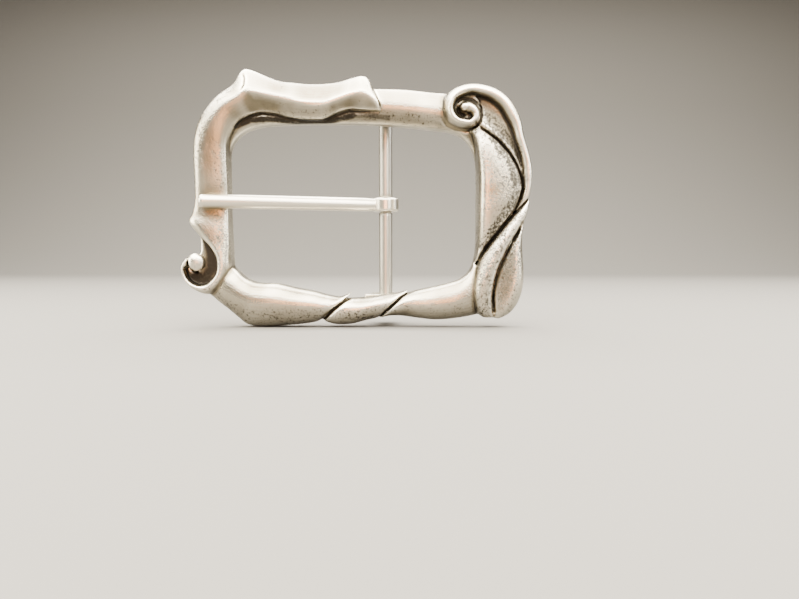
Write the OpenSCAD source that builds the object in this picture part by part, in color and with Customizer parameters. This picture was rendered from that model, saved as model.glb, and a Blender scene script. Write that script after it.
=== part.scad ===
// Belt buckle for a 40 mm strap: a cast frame of entwined leaves and scrolls, a steel bar
// pinned between two lugs behind it, and a round prong that swings on the bar.
// Millimetres. Origin at the middle of the bar's axis, +X right, +Z up, the front towards -Y.

/* [Strap bar] */
// Diameter of the bar where the strap folds round it
bar_d = 3.2; // [2.4:0.1:4]
// Diameter of the neck that the prong's eye turns on
neck_d = 2.6; // [2:0.1:3.2]
// Length of the neck along the bar
neck_l = 3.6; // [3:0.1:6]
// Free length of the bar between the lugs
bar_free = 42; // [40:0.5:44]
// Thickness of each lug along the bar
lug_t = 4; // [3:0.1:4.2]
// Width of each lug across the bar
lug_w = 7; // [5:0.5:9]
// Flare of each lug where it meets the frame's back
lug_flare = 1.2; // [0.4:0.1:2]
// Height of the peened dome at each end of the bar
peen_h = 0.5; // [0.2:0.1:0.6]

/* [Prong] */
// Diameter of the prong's rod
prong_d = 3.2; // [2.4:0.1:3.6]
// Distance from the bar's axis to the prong's tip
prong_l = 43; // [40:0.5:45]
// Slope of the prong towards the front when it rests on the frame
prong_slope = 17.8; // [16:0.1:22]
// Outer diameter of the prong's eye
eye_d = 6.2; // [5:0.1:7]
// Length of the eye along the bar
eye_l = 3.2; // [2.4:0.1:3.4]
// Clearance in radius between the eye and the neck
eye_gap = 0.05; // [0.02:0.01:0.1]

/* [Frame] */
// Distance from the bar's axis to the back of the frame
back_y = 5; // [4.5:0.1:6]
// Distance from the bar's axis to the front of the plain under-ring
ring_y = 8; // [7:0.1:9]
// Distance from the bar's axis to the floor of the scroll recesses
floor_y = 8.6; // [8:0.1:10]
// Steps between two neighbouring sections of a leaf
steps = 3; // [1:1:5]

/* [Hidden] */
$fn = 48;
eps = 0.02;
bar_end = bar_free / 2 + lug_t;

// Each section of a leaf: one edge's x, z, the other edge's x, z, where the crest lies between
// them (0 to 1), the crest's distance and the edges' distance in front of the bar. The
// second edge is on the left of the way the sections run, seen from the front.
branch = [
  [-41.8, 11.9, -42.6, 13.6, 0.5, 11.6, 11.2],
  [-43.7, 11.9, -43.2, 13.6, 0.5, 11.4, 9.6],
  [-45.5, 13.6, -44.4, 14.3, 0.5, 11.2, 9.2],
  [-46, 15.4, -44.7, 15.4, 0.5, 11, 9],
  [-45.4, 17.3, -44.3, 16.9, 0.5, 11, 9],
  [-43.8, 19.3, -42.9, 18, 0.5, 11, 9],
  [-41.3, 20.7, -40.9, 18.2, 0.5, 11.1, 9],
  [-38.3, 19.9, -38.9, 16.9, 0.5, 11.2, 9],
  [-35.6, 17, -38.2, 14.9, 0.5, 11.2, 9],
  [-34.8, 13.6, -38.9, 11.8, 0.5, 11.1, 9],
  [-35.3, 9.5, -41.6, 7.8, 0.5, 10.9, 9],
  [-35.5, 5.3, -44.4, 4.3, 0.5, 10.6, 8.9],
  [-35.5, 1.5, -43.4, 2.2, 0.55, 10.3, 8.7],
  [-35.5, -3.5, -42.8, -3.5, 0.55, 10.6, 8.8],
  [-35.3, -10.5, -42.9, -11, 0.55, 11.4, 9.2],
  [-34.6, -14.5, -42.2, -16, 0.55, 11.8, 9.4],
  [-33, -17.6, -39.5, -21.3, 0.55, 12, 9.5],
  [-30.6, -19.2, -34.6, -25.8, 0.5, 12.2, 9.6],
  [-28.8, -19.6, -31.4, -29.6, 0.45, 12.4, 9.4],
  [-26.3, -19.8, -27, -28.6, 0.4, 12.5, 9.6],
  [-21, -18.7, -20.5, -27.1, 0.38, 12.4, 9.6],
  [-16, -18.2, -16, -26.8, 0.35, 12.4, 9.6],
  [-11, -19.3, -10.5, -27.2, 0.38, 12.4, 9.6],
  [-6.5, -20.5, -5.4, -28.1, 0.42, 12.2, 9.6],
  [-3.4, -20.4, -3.2, -27, 0.5, 11.8, 9.4],
  [-1.2, -20.4, -1.8, -23.4, 0.5, 11.2, 9.2],
];
top_rail = [
  [15, 24.2, 15, 16.1, 0.5, 10.2, 8],
  [9, 24.8, 9, 16.8, 0.5, 10.2, 8],
  [2, 25.2, 2, 17.4, 0.5, 10.2, 8],
  [-8, 25.1, -8, 17.7, 0.5, 10.2, 8],
  [-17, 24.8, -17, 17.8, 0.5, 10.2, 8],
];
vine_left = [
  [-39.6, -20.8, -35, -14.9, 0.5, 10.4, 8.4],
  [-36.6, -23.8, -32.4, -16.6, 0.45, 11.3, 8.6],
  [-33.4, -26.4, -29.5, -17.9, 0.4, 11.9, 8.8],
  [-28.5, -28, -26, -18.3, 0.4, 12.2, 8.8],
  [-22, -28, -20.5, -19.3, 0.4, 12, 8.8],
  [-16.5, -27.3, -14.5, -20.2, 0.4, 11.5, 8.6],
  [-14, -25.9, -9.5, -20.8, 0.4, 10.7, 8.4],
  [-10.5, -23.2, -6.2, -20.1, 0.4, 10, 8.2],
];
vine_middle = [
  [-14.4, -26.7, -12, -24.2, 0.5, 10, 8.2],
  [-12.6, -27.5, -9.6, -22.4, 0.5, 11, 8.6],
  [-9, -27.8, -6.5, -21.7, 0.5, 11.8, 8.8],
  [-4, -26.8, -2.5, -21.4, 0.5, 11.8, 8.8],
  [-0.6, -25.6, 2.2, -20.8, 0.5, 11, 8.6],
  [2.2, -23.2, 6, -20, 0.5, 10.2, 8.2],
];
vine_right = [
  [-1.2, -26.2, 0.8, -24.2, 0.5, 10, 8.2],
  [1.6, -25.8, 3.8, -21.2, 0.5, 10.8, 8.6],
  [5.5, -26, 6.4, -20.2, 0.5, 11.4, 8.8],
  [11, -26.7, 10.4, -19, 0.5, 11.9, 8.8],
  [17, -26.2, 16.2, -17.6, 0.5, 11.6, 8.8],
  [22, -25, 19.8, -14.6, 0.5, 11, 8.6],
];
bud = [
  [21.9, -12, 20.3, -13.2, 0.5, 10.4, 8.8],
  [24.8, -7.3, 20.9, -9.3, 0.65, 11.5, 9],
  [28, -3.4, 21.1, -5.5, 0.7, 12.2, 9.2],
  [30.3, 0.7, 21.2, -1, 0.7, 12.7, 9.2],
  [30.9, 4.2, 21.1, 4, 0.7, 12.8, 9.2],
  [29, 9, 20.9, 8.4, 0.7, 12.5, 9.2],
  [25.6, 13.3, 20.4, 12.6, 0.65, 11.6, 9],
  [22, 16.3, 19.5, 15.6, 0.6, 10.4, 8.8],
];
scroll_rim = [
  [31.8, -0.2, 29.9, -0.8, 0.5, 11, 8.8],
  [32.7, 3.2, 30.9, 3.1, 0.5, 11.5, 9],
  [33, 6, 30.8, 5.8, 0.5, 11.8, 9.2],
  [32, 11.4, 30, 10.6, 0.5, 12, 9.2],
  [30.9, 14.8, 28.8, 13.5, 0.5, 12.2, 9.4],
  [29, 20.9, 26.9, 18.3, 0.45, 12.3, 9.4],
  [26.2, 23.9, 24.4, 21.5, 0.45, 12.4, 9.6],
  [22, 25.9, 21.2, 23.1, 0.45, 12.5, 9.6],
  [18.6, 26.2, 19, 23.4, 0.45, 12.6, 9.6],
  [15.4, 25.3, 17.2, 23.1, 0.5, 12.6, 9.6],
  [13.2, 23.2, 16.1, 22.3, 0.55, 12.6, 9.6],
  [12.7, 20.6, 15.7, 20.5, 0.6, 12.6, 9.6],
  [13.6, 17.8, 16, 19.2, 0.55, 12.6, 9.6],
  [15.6, 16.7, 16.7, 18.5, 0.5, 12.5, 9.6],
  [17.8, 16.3, 17.7, 18.2, 0.5, 12.4, 9.6],
  [19.8, 16.7, 18.5, 18.4, 0.5, 12.3, 9.6],
  [21.2, 18.3, 19.2, 18.9, 0.5, 12.2, 9.6],
  [21.3, 20.4, 19.3, 19.5, 0.5, 12.1, 9.6],
  [20, 22, 18.8, 19.8, 0.5, 12, 9.6],
];
leaf_left = [
  [31.7, 0.5, 32.4, -0.6, 0.5, 11, 8.8],
  [28.7, -3.6, 30.3, -5, 0.5, 12.2, 9.2],
  [25.2, -7.6, 28.2, -8.8, 0.5, 12.9, 9.4],
  [21.4, -12.2, 26.2, -13, 0.5, 13, 9.4],
  [19.9, -16.5, 24.9, -17.2, 0.5, 12.9, 9.2],
  [19.5, -20.5, 24.2, -21, 0.5, 12.5, 9],
  [20.3, -24, 24.3, -24.2, 0.5, 11.8, 8.8],
  [22, -25.8, 24.7, -25.8, 0.5, 10.8, 8.6],
];
leaf_right = [
  [26.2, -26.1, 24.5, -25.4, 0.4, 10.6, 8.8],
  [29.2, -24, 24.1, -23.4, 0.4, 11.4, 9],
  [31.2, -19.4, 24.1, -20, 0.4, 12, 9.2],
  [31.4, -14.5, 25.2, -15, 0.4, 12.2, 9.2],
  [31, -9, 27.3, -9.6, 0.4, 11.9, 9.2],
  [31.1, -5, 29.7, -5.6, 0.4, 11.2, 9],
  [32.2, -0.4, 31, -1.6, 0.4, 10.6, 8.8],
];

// Outer edge of the under-ring, and the edge of its window.
ring_outer = [
  [-41.5, 0], [-41.6, 14], [-38, 20.8], [-31, 25.5], [-20, 25.4], [0, 25.3], [13, 24.6],
  [20, 25.6], [27, 23.2], [30.4, 16], [31.8, 6], [31, -2], [30, -9], [30.4, -17], [28, -23],
  [22, -24.8], [10, -25.5], [0, -25.2], [-8, -26.6], [-20, -26.9], [-31, -25.8],
  [-37, -21.4], [-42, -18.6], [-43, -14], [-39.8, -8], [-42.6, -4],
];
ring_window = [
  [-35.6, 0], [-35.4, 10], [-33.4, 15], [-28, 17.4], [-15, 17.8], [0, 17.4], [10, 16.7],
  [16.6, 15.2], [20, 11], [21.2, 3], [21.1, -4], [20.4, -12], [17.4, -17], [10, -19.8],
  [0, -21.6], [-10, -21.6], [-20, -20], [-29, -18.4], [-33.8, -15], [-35.4, -11],
];
dish = [
  [19, 24.6], [25.2, 22.8], [28.4, 18], [30.6, 10], [31.8, 2], [29.6, -0.6], [29.8, 6],
  [27.6, 10.6], [23.6, 14.4], [19.6, 16.4],
];

function bend(a, b, c, d, t) =
  b + 0.5 * t * (c - a + t * (2 * a - 5 * b + 4 * c - d + t * (3 * (b - c) + d - a)));

function smooth_open(s) = [
  for (i = [0 : len(s) - 2], k = [0 : steps - 1])
    bend(s[max(i - 1, 0)], s[i], s[i + 1], s[min(i + 2, len(s) - 1)], k / steps),
  s[len(s) - 1],
];

function smooth_closed(s) = [
  for (i = [0 : len(s) - 1], k = [0 : steps - 1])
    bend(s[(i + len(s) - 1) % len(s)], s[i], s[(i + 1) % len(s)], s[(i + 2) % len(s)], k / steps),
];

// One point of a section: f runs from the outer edge to the inner one.
function rib_point(s, f, y) = [s[0] + (s[2] - s[0]) * f, -y, s[1] + (s[3] - s[1]) * f];

// The leaves' backs sit at their own depths inside the under-ring.
function rib(s, depth) = [
  rib_point(s, 0, back_y + depth),
  rib_point(s, 0, s[6]),
  rib_point(s, s[4] * 0.45, s[6] + (s[5] - s[6]) * 0.8),
  rib_point(s, s[4], s[5]),
  rib_point(s, 1 - (1 - s[4]) * 0.45, s[6] + (s[5] - s[6]) * 0.8),
  rib_point(s, 1, s[6]),
  rib_point(s, 1, back_y + depth),
];

module loft(sections, depth) {
  ribs = smooth_open(sections);
  n = 7;
  last = len(ribs) - 1;
  points = [for (r = ribs) each rib(r, depth)];
  sides = [
    for (i = [0 : last - 1], k = [0 : n - 1])
      each [
        [i * n + k, (i + 1) * n + (k + 1) % n, (i + 1) * n + k],
        [i * n + k, i * n + (k + 1) % n, (i + 1) * n + (k + 1) % n],
      ],
  ];
  near = [[for (k = [n - 1 : -1 : 0]) k]];
  far = [[for (k = [0 : n - 1]) last * n + k]];
  polyhedron(points, concat(sides, near, far), convexity = 6);
}

// A flat shape in X and Z, standing from one distance in front of the bar to another.
module slab(from, to) {
  rotate([90, 0, 0]) translate([0, 0, from]) linear_extrude(to - from) children();
}

module lug(side) {
  half = [
    [-1, -back_y - 1], [lug_w / 2 + lug_flare, -back_y - 1], [lug_w / 2 + lug_flare, -back_y],
    [lug_w / 2, lug_flare - back_y], [lug_w / 2, 0], [-1, 0],
  ];
  translate([0, 0, side > 0 ? bar_free / 2 : -bar_end]) {
    for (m = [0, 1]) mirror([m, 0, 0]) linear_extrude(lug_t) polygon(half);
    cylinder(d = lug_w, h = lug_t);
  }
}

module frame() {
  color("silver")
  difference() {
    union() {
      slab(back_y, ring_y) difference() {
        polygon(smooth_closed(ring_outer));
        polygon(smooth_closed(ring_window));
      }
      slab(back_y + 1, floor_y) {
        polygon(smooth_closed(dish));
      }
      slab(back_y + 0.1, floor_y) translate([-41.6, -14.8]) circle(r = 4.4);
      slab(back_y + 1, 10.4) translate([17.3, 20.6]) circle(r = 3.6);
      loft([for (s = branch) [s[0], -s[1], s[2], -s[3], s[4], s[5], s[6]]], 0.2);
      loft(top_rail, 0.3);
      loft(vine_left, 0.4);
      loft(vine_middle, 0.5);
      loft(vine_right, 0.6);
      loft(bud, 0.7);
      loft(scroll_rim, 0.8);
      loft(leaf_left, 0.9);
      loft(leaf_right, 1.0);
      translate([-42.5, -10, -13.9]) sphere(r = 1.9);
      translate([18.1, -11.2, 21.1]) sphere(r = 1.5);
      lug(1);
      lug(-1);
    }
    translate([0, 0, -bar_end - 1]) cylinder(d = bar_d, h = 2 * bar_end + 2);
  }
}

module bar_pin() {
  color("lightgrey") {
    difference() {
      cylinder(d = bar_d, h = 2 * bar_end, center = true);
      difference() {
        cylinder(d = bar_d + 1, h = neck_l, center = true);
        cylinder(d = neck_d, h = neck_l + 1, center = true);
      }
    }
    for (side = [0, 1]) mirror([0, 0, side])
      translate([0, 0, bar_end - eps]) cylinder(d1 = bar_d, d2 = bar_d - 1, h = peen_h);
  }
}

module prong() {
  color("gainsboro")
  difference() {
    union() {
      cylinder(d = eye_d, h = eye_l, center = true);
      rotate([0, 0, 180 + prong_slope]) rotate([0, 90, 0]) {
        cylinder(d = prong_d, h = prong_l - prong_d / 4);
        translate([0, 0, prong_l - prong_d / 2]) sphere(d = prong_d);
      }
    }
    cylinder(d = neck_d + 2 * eye_gap, h = eye_l + 1, center = true);
  }
}

frame();
bar_pin();
prong();
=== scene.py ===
import math

import bmesh
import bpy
import numpy as np
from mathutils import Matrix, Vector


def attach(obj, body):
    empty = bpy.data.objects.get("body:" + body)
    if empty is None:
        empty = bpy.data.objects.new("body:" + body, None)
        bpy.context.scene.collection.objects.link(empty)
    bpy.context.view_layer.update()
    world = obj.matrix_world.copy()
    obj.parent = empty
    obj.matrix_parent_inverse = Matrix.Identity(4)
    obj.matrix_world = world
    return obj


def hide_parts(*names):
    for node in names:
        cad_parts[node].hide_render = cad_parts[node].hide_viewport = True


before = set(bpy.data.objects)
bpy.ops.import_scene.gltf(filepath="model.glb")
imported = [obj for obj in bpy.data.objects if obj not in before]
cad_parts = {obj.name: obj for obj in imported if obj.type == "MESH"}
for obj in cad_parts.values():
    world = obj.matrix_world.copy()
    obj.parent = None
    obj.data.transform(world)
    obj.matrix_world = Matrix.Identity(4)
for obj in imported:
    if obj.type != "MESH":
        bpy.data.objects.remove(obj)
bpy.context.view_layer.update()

mm = 0.001


def srgb(hexColour):
    # an sRGB hex value turned to linear, with full alpha
    parts = [int(hexColour[i:i + 2], 16) / 255 for i in (1, 3, 5)]
    return [c / 12.92 if c < 0.04045 else ((c + 0.055) / 1.055) ** 2.4 for c in parts] + [1.0]


def deselect():
    if bpy.context.object and bpy.context.object.mode != "OBJECT":
        bpy.ops.object.mode_set(mode="OBJECT")
    bpy.ops.object.select_all(action="DESELECT")


def pick(*objs):
    deselect()
    for o in objs:
        o.select_set(True)
    bpy.context.view_layer.objects.active = objs[0]


def applyModifier(obj, kind, **settings):
    pick(obj)
    mod = obj.modifiers.new(kind.title(), kind)
    for name, value in settings.items():
        setattr(mod, name, value)
    bpy.ops.object.modifier_apply(modifier=mod.name)


def settle(obj, name):
    # place, turn and size go into the mesh
    pick(obj)
    bpy.ops.object.transform_apply(location=True, rotation=True, scale=True)
    obj.name = obj.data.name = name
    return obj


def joined(pieces, name):
    pick(*pieces)
    bpy.ops.object.join()
    return settle(bpy.context.object, name)


def cleaned(obj):
    # slivers and doubled faces left by the thinning are taken out
    pick(obj)
    bpy.ops.object.mode_set(mode="EDIT")
    bpy.ops.mesh.select_all(action="SELECT")
    bpy.ops.mesh.dissolve_degenerate(threshold=1e-6)
    bpy.ops.mesh.delete_loose()
    bpy.ops.object.mode_set(mode="OBJECT")
    obj.data.validate()


def triangles(obj):
    obj.data.calc_loop_triangles()
    return len(obj.data.loop_triangles)


# camera, at the height of the window's lower part and tilted a little down; place in mm
view = {"place": (3.3, -157.5, -11.1), "down": 4.2, "lens": 29.4, "sensor": 36, "nearest": 5}
bpy.ops.object.camera_add(location=[v * mm for v in view["place"]],
                          rotation=(math.radians(90 - view["down"]), 0, 0))
camera = bpy.context.object
camera.data.lens = view["lens"]
camera.data.sensor_width = view["sensor"]
camera.data.clip_start = view["nearest"] * mm
bpy.context.scene.camera = camera
print("camera set")


# The cast frame, leaf by leaf. A row is one section of a leaf, in mm: x, z of edge a; x, z of
# edge b; where the crest lies from a to b; how far the crest, edge a and edge b stand in front
# of the bar; how full the side towards a and the side towards b are (1 flat, 2 round, 3 fuller
# still). A crest lower than its edges makes a dish.
leaves = {
    "underRing": [
        (-35.9, -8, -41, -8, 0.5, 8.6, 7.6, 7.6, 2, 2),
        (-35.9, 0, -41, 0, 0.5, 8.6, 7.6, 7.6, 2, 2),
        (-35.6, 9, -41, 11, 0.5, 8.6, 7.6, 7.6, 2, 2),
        (-33.6, 14.4, -38.5, 19, 0.5, 9, 7.8, 7.6, 2, 2),
        (-28.5, 17, -32, 25, 0.5, 9.4, 7.9, 7.6, 2, 2),
        (-20, 17.6, -20, 25.4, 0.45, 10, 8, 7.6, 2, 2),
        (-12, 17.7, -12, 25.5, 0.5, 9.9, 8, 7.6, 1.8, 2),
        (-4, 17.6, -4, 25.4, 0.5, 10.1, 8, 7.4, 1.6, 1.9),
        (4, 17.1, 4, 25.2, 0.45, 10.5, 8, 7.4, 1.6, 1.9),
        (10, 16.5, 10, 24.6, 0.45, 10.8, 8, 7.4, 1.7, 1.9),
        (15.5, 15.6, 15.5, 24, 0.45, 10.4, 7.8, 7.4, 1.9, 1.9),
        (19, 13.2, 23.6, 21.6, 0.5, 9, 7.6, 7.4, 2, 2),
        (20.6, 9, 28.6, 14.6, 0.5, 8.8, 7.6, 7.4, 2, 2),
        (21.2, 2, 30.2, 4, 0.5, 8.8, 7.6, 7.4, 2, 2),
        (21, -6, 29, -6, 0.5, 8.8, 7.6, 7.4, 2, 2),
        (20.4, -12.5, 29.5, -15, 0.5, 8.8, 7.6, 7.4, 2, 2),
        (18.4, -17, 26, -23, 0.5, 8.8, 7.6, 7.4, 2, 2),
        (12.6, -19.4, 13, -25.4, 0.5, 8.8, 7.8, 7.4, 2, 2),
        (6, -20.9, 6, -25.2, 0.4, 8.8, 8, 7.4, 2, 2),
        (-1, -21.9, -1, -25.4, 0.4, 9, 8.2, 7.4, 2, 2),
        (-8, -22.1, -8, -26.4, 0.4, 9, 8.2, 7.4, 2, 2),
        (-14, -21.6, -15, -26.4, 0.4, 9, 8.2, 7.4, 2, 2),
        (-20, -20.4, -22, -27, 0.5, 8.8, 7.8, 7.4, 2, 2),
        (-28, -19.2, -30, -26.4, 0.5, 8.8, 7.6, 7.4, 2, 2),
        (-33.2, -17, -37, -21, 0.5, 8.6, 7.6, 7.4, 2, 2),
        (-35.4, -12.4, -41, -13, 0.5, 8.6, 7.6, 7.4, 2, 2),
        (-35.9, -6, -41, -6, 0.5, 8.6, 7.6, 7.6, 2, 2)],
    "branch": [
        (-42.2, -12, -42.6, -14.4, 0.5, 11.4, 10, 9.8, 2, 2),
        (-43.6, -11.8, -43.4, -14.3, 0.5, 11.3, 9.6, 9.6, 2, 2),
        (-45.2, -12.9, -44.3, -14.4, 0.5, 11.2, 9.4, 9.4, 2, 2),
        (-46, -14.6, -45.1, -14.9, 0.5, 11.1, 9.2, 9.4, 2, 2),
        (-45.8, -16.6, -44.9, -16.4, 0.5, 11, 9, 9.4, 2, 2),
        (-44.7, -18.6, -44, -17.7, 0.55, 11, 9, 9.4, 2, 2),
        (-42.6, -20.1, -42.2, -18.6, 0.6, 11.1, 9, 9.6, 2, 2),
        (-40.3, -20.8, -40.3, -18.3, 0.6, 11.2, 9, 9.8, 2, 2),
        (-38, -19.9, -38.8, -17, 0.6, 11.3, 9, 10, 2, 2),
        (-36.1, -17.8, -37.9, -15.2, 0.6, 11.3, 9, 10, 2, 2),
        (-34.9, -14.9, -38.1, -12.3, 0.55, 11.3, 9, 10, 2, 2),
        (-34.9, -12.2, -39.5, -9.8, 0.55, 11.2, 9, 9.8, 2.4, 2),
        (-35, -9, -41.9, -7.5, 0.6, 11, 9.2, 9.2, 2.8, 2.2),
        (-35.1, -6.1, -44.3, -4.4, 0.67, 10.8, 9.2, 8.6, 3, 2),
        (-35.2, -3, -43.5, -2.3, 0.67, 10.4, 9, 8.6, 3, 2.1),
        (-35.2, 0.7, -42.9, 0.7, 0.67, 10.3, 8.8, 8.6, 3, 2.2),
        (-35.2, 5.2, -42.8, 5.2, 0.67, 10.9, 9.2, 8.8, 3, 2.2),
        (-35.2, 9.7, -42.9, 10.1, 0.67, 11.3, 9.4, 8.8, 3, 2.2),
        (-35, 13, -42.6, 14.7, 0.6, 11.6, 9.4, 8.8, 2.8, 2),
        (-34.1, 15.5, -41.2, 19, 0.58, 11.9, 9.6, 8.6, 2.3, 1.8),
        (-32.4, 17.9, -37.9, 23.3, 0.55, 12.1, 9.8, 8.4, 1.8, 1.6),
        (-30.5, 19, -34.1, 26.2, 0.52, 12.3, 10, 8.2, 1.5, 1.4),
        (-28.9, 19.6, -32.1, 29.2, 0.46, 12.5, 10, 8, 1.3, 1.2),
        (-27.3, 19.8, -30, 29.4, 0.43, 12.6, 10, 8, 1.3, 1.2),
        (-24.2, 19.5, -24.4, 27.2, 0.45, 12.6, 10, 8, 1.3, 1.3),
        (-21.4, 18.7, -20.3, 26.6, 0.45, 12.6, 10, 8, 1.3, 1.3),
        (-18.1, 18.2, -16.7, 26.3, 0.4, 12.6, 10, 8, 1.3, 1.3),
        (-14, 18.2, -13.1, 26.4, 0.37, 12.6, 10, 8, 1.3, 1.3),
        (-11.1, 19.4, -10.2, 26.8, 0.37, 12.6, 10.4, 8, 1.3, 1.3),
        (-7.9, 20.4, -7.2, 27.7, 0.39, 12.6, 10.6, 8, 1.3, 1.3),
        (-5.2, 20.3, -5, 28.1, 0.45, 12.4, 10.6, 8, 1.3, 1.3),
        (-3.2, 20.2, -3.5, 27.1, 0.45, 12, 10.4, 8.2, 1.3, 1.3),
        (-1, 20.2, -1.8, 23.2, 0.5, 11.4, 10.2, 9, 1.3, 1.3)],
    "vineLeft": [
        (-40, -20.9, -34.6, -14.8, 0.55, 10.6, 8, 8.4, 2, 2),
        (-37.9, -22.7, -33.6, -15.6, 0.55, 11.2, 8, 8.4, 2, 2),
        (-35.7, -24.4, -32.1, -17, 0.55, 11.6, 8, 8.6, 2, 2),
        (-33.6, -26.2, -30, -18, 0.58, 11.9, 8, 8.6, 2, 2),
        (-31.4, -27.8, -27.8, -18.3, 0.6, 12.1, 8, 8.6, 2, 2),
        (-27.8, -28.2, -24.6, -18.4, 0.6, 12.2, 8, 8.6, 2, 1.9),
        (-23, -28, -20.3, -19.4, 0.62, 12.1, 8, 8.6, 2, 1.8),
        (-19.2, -27.7, -16.5, -20.1, 0.62, 11.9, 8, 8.6, 2, 1.8),
        (-15.6, -27.1, -13.1, -21, 0.6, 11.5, 8, 8.6, 2, 1.8),
        (-14, -26, -10.2, -21.4, 0.55, 11, 8, 8.6, 2, 1.8),
        (-12, -24.2, -7.4, -20.2, 0.5, 10.2, 8.2, 8.6, 2, 2)],
    "vineMiddle": [
        (-14.4, -26.5, -12.2, -24.5, 0.5, 10.2, 8, 8.4, 2, 2),
        (-13.1, -27.3, -9.9, -22.6, 0.55, 11.2, 8, 8.8, 2, 2),
        (-10.6, -27.8, -8.4, -21.8, 0.6, 11.7, 8, 8.8, 2, 2),
        (-7.4, -27.6, -4.7, -21.6, 0.6, 11.8, 8, 8.6, 2, 1.9),
        (-4.3, -26.8, -0.9, -21.1, 0.6, 11.6, 8, 8.6, 2, 1.8),
        (-1.6, -26.1, 2.7, -20.6, 0.55, 11, 8, 8.6, 2, 1.8),
        (0.7, -24.4, 5.4, -19.8, 0.5, 10, 8, 8.4, 2, 2)],
    "vineRight": [
        (-1.1, -26.2, 0.5, -24.5, 0.5, 10, 8, 8.4, 2, 2),
        (1.1, -25.8, 3.6, -21.5, 0.55, 10.9, 8, 8.8, 2, 2),
        (3.8, -25.8, 6.3, -20.2, 0.55, 11.4, 8, 8.8, 2, 2),
        (7.4, -26.3, 9.7, -19.4, 0.52, 11.7, 8, 8.8, 2, 1.9),
        (11.5, -26.7, 13.3, -18.6, 0.5, 11.8, 8, 8.8, 2, 1.9),
        (15.8, -26.4, 16.9, -17.5, 0.5, 11.8, 8, 8.8, 2, 1.9),
        (19.6, -25.8, 19.2, -15.6, 0.5, 11.4, 8, 8.8, 2, 2),
        (22.3, -25.1, 20.3, -13.3, 0.5, 10.6, 8, 8.8, 2, 2)],
    "bud": [
        (20.9, 16.8, 19.2, 15.7, 0.55, 10.3, 9.8, 8.6, 2, 2),
        (23.2, 15.2, 19.8, 14.2, 0.62, 11.4, 10.2, 8.8, 2, 2.4),
        (25.4, 13.4, 20.2, 12.2, 0.68, 12.3, 10.5, 8.8, 1.8, 2.8),
        (27.7, 10.8, 20.5, 9.9, 0.72, 12.7, 10.7, 8.8, 1.8, 3.2),
        (29.4, 8.1, 20.7, 7.4, 0.74, 12.9, 10.8, 8.8, 1.8, 3.2),
        (30.5, 5.3, 20.8, 4.6, 0.76, 13, 10.8, 8.8, 1.8, 3.2),
        (30.8, 3.1, 20.8, 2, 0.76, 13, 10.8, 8.8, 1.8, 3.2),
        (30.2, 0.9, 20.8, -0.8, 0.75, 13, 10.8, 8.8, 1.8, 3.2),
        (28.6, -2.4, 20.8, -4, 0.72, 12.8, 10.8, 8.8, 1.8, 3),
        (26.3, -5.6, 20.8, -7.2, 0.66, 12.4, 10.6, 8.8, 1.8, 2.6),
        (23.8, -8.7, 20.7, -10.2, 0.55, 11.6, 10.2, 8.8, 1.9, 2.2),
        (21.4, -12.4, 20.4, -13.6, 0.5, 10.6, 9.6, 8.8, 2, 2)],
    "dish": [
        (20.8, 16.6, 18.9, 24, 0.6, 10.1, 10.8, 10.4, 1.3, 1.5),
        (23, 15.2, 21.6, 24.2, 0.6, 10.2, 11.4, 10.6, 1.2, 1.6),
        (25.2, 13.4, 24.8, 22.4, 0.62, 10.2, 11.7, 10.6, 1.2, 1.6),
        (27.5, 10.8, 27.4, 19.4, 0.64, 10.2, 11.8, 10.6, 1.2, 1.6),
        (29.2, 8.1, 28.9, 15.6, 0.66, 10.3, 11.7, 10.6, 1.2, 1.6),
        (30.3, 5.3, 30.3, 10.6, 0.7, 10.2, 11.5, 10.6, 1.2, 1.5),
        (30.6, 3.1, 31.2, 6.4, 0.7, 10.6, 11.2, 10.8, 1.1, 1.3),
        (30, 1, 31.4, 2.6, 0.7, 10.6, 10.8, 10.6, 1, 1)],
    "scrollRim": [
        (17.3, 20.2, 17.1, 21.4, 0.5, 12.4, 11, 11, 2, 2),
        (18, 19.5, 18.3, 21.9, 0.5, 12.6, 11, 10.8, 2, 2),
        (18.8, 19.3, 19.7, 21.4, 0.5, 12.6, 11, 10.6, 2, 2),
        (19.2, 18.9, 20.8, 20.3, 0.5, 12.5, 10.8, 10.4, 2, 2),
        (19.1, 18.4, 21.2, 18.8, 0.5, 12.5, 10.6, 10.2, 2, 2),
        (18.6, 18.1, 20.8, 17.4, 0.5, 12.5, 10.4, 9.8, 2, 2),
        (17.9, 18, 19.6, 16.5, 0.5, 12.5, 10.4, 9.4, 2, 2),
        (17.2, 18.3, 17.6, 16.3, 0.48, 12.6, 10.4, 9, 2, 2),
        (16.4, 18.5, 15.6, 16.7, 0.45, 12.7, 10.4, 8.8, 2, 1.8),
        (15.8, 19.2, 13.8, 17.6, 0.4, 12.8, 10.4, 8.8, 2, 1.7),
        (15.4, 20.1, 12.8, 19.4, 0.36, 12.8, 10.4, 8.8, 2, 1.6),
        (15.4, 21.2, 12.8, 21.2, 0.34, 12.9, 10.4, 8.8, 2, 1.6),
        (15.9, 22.2, 13.3, 23, 0.34, 12.9, 10.4, 8.8, 2, 1.6),
        (16.8, 22.8, 14.5, 24.4, 0.36, 12.9, 10.4, 8.8, 2, 1.7),
        (18, 23.2, 16.3, 25.4, 0.38, 12.9, 10.4, 8.8, 2, 1.8),
        (19.4, 23.4, 18.9, 26, 0.4, 12.8, 10.4, 8.8, 2, 1.8),
        (21.1, 23, 21.8, 25.8, 0.42, 12.8, 10.2, 8.8, 2, 1.8),
        (23.3, 22.2, 24.7, 24.9, 0.45, 12.7, 10.2, 8.8, 2, 1.8),
        (25.4, 20.6, 27.2, 23.1, 0.48, 12.6, 10.2, 8.8, 2, 1.9),
        (26.9, 18.3, 29, 20.9, 0.5, 12.5, 10.2, 8.8, 2, 1.9),
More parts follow.
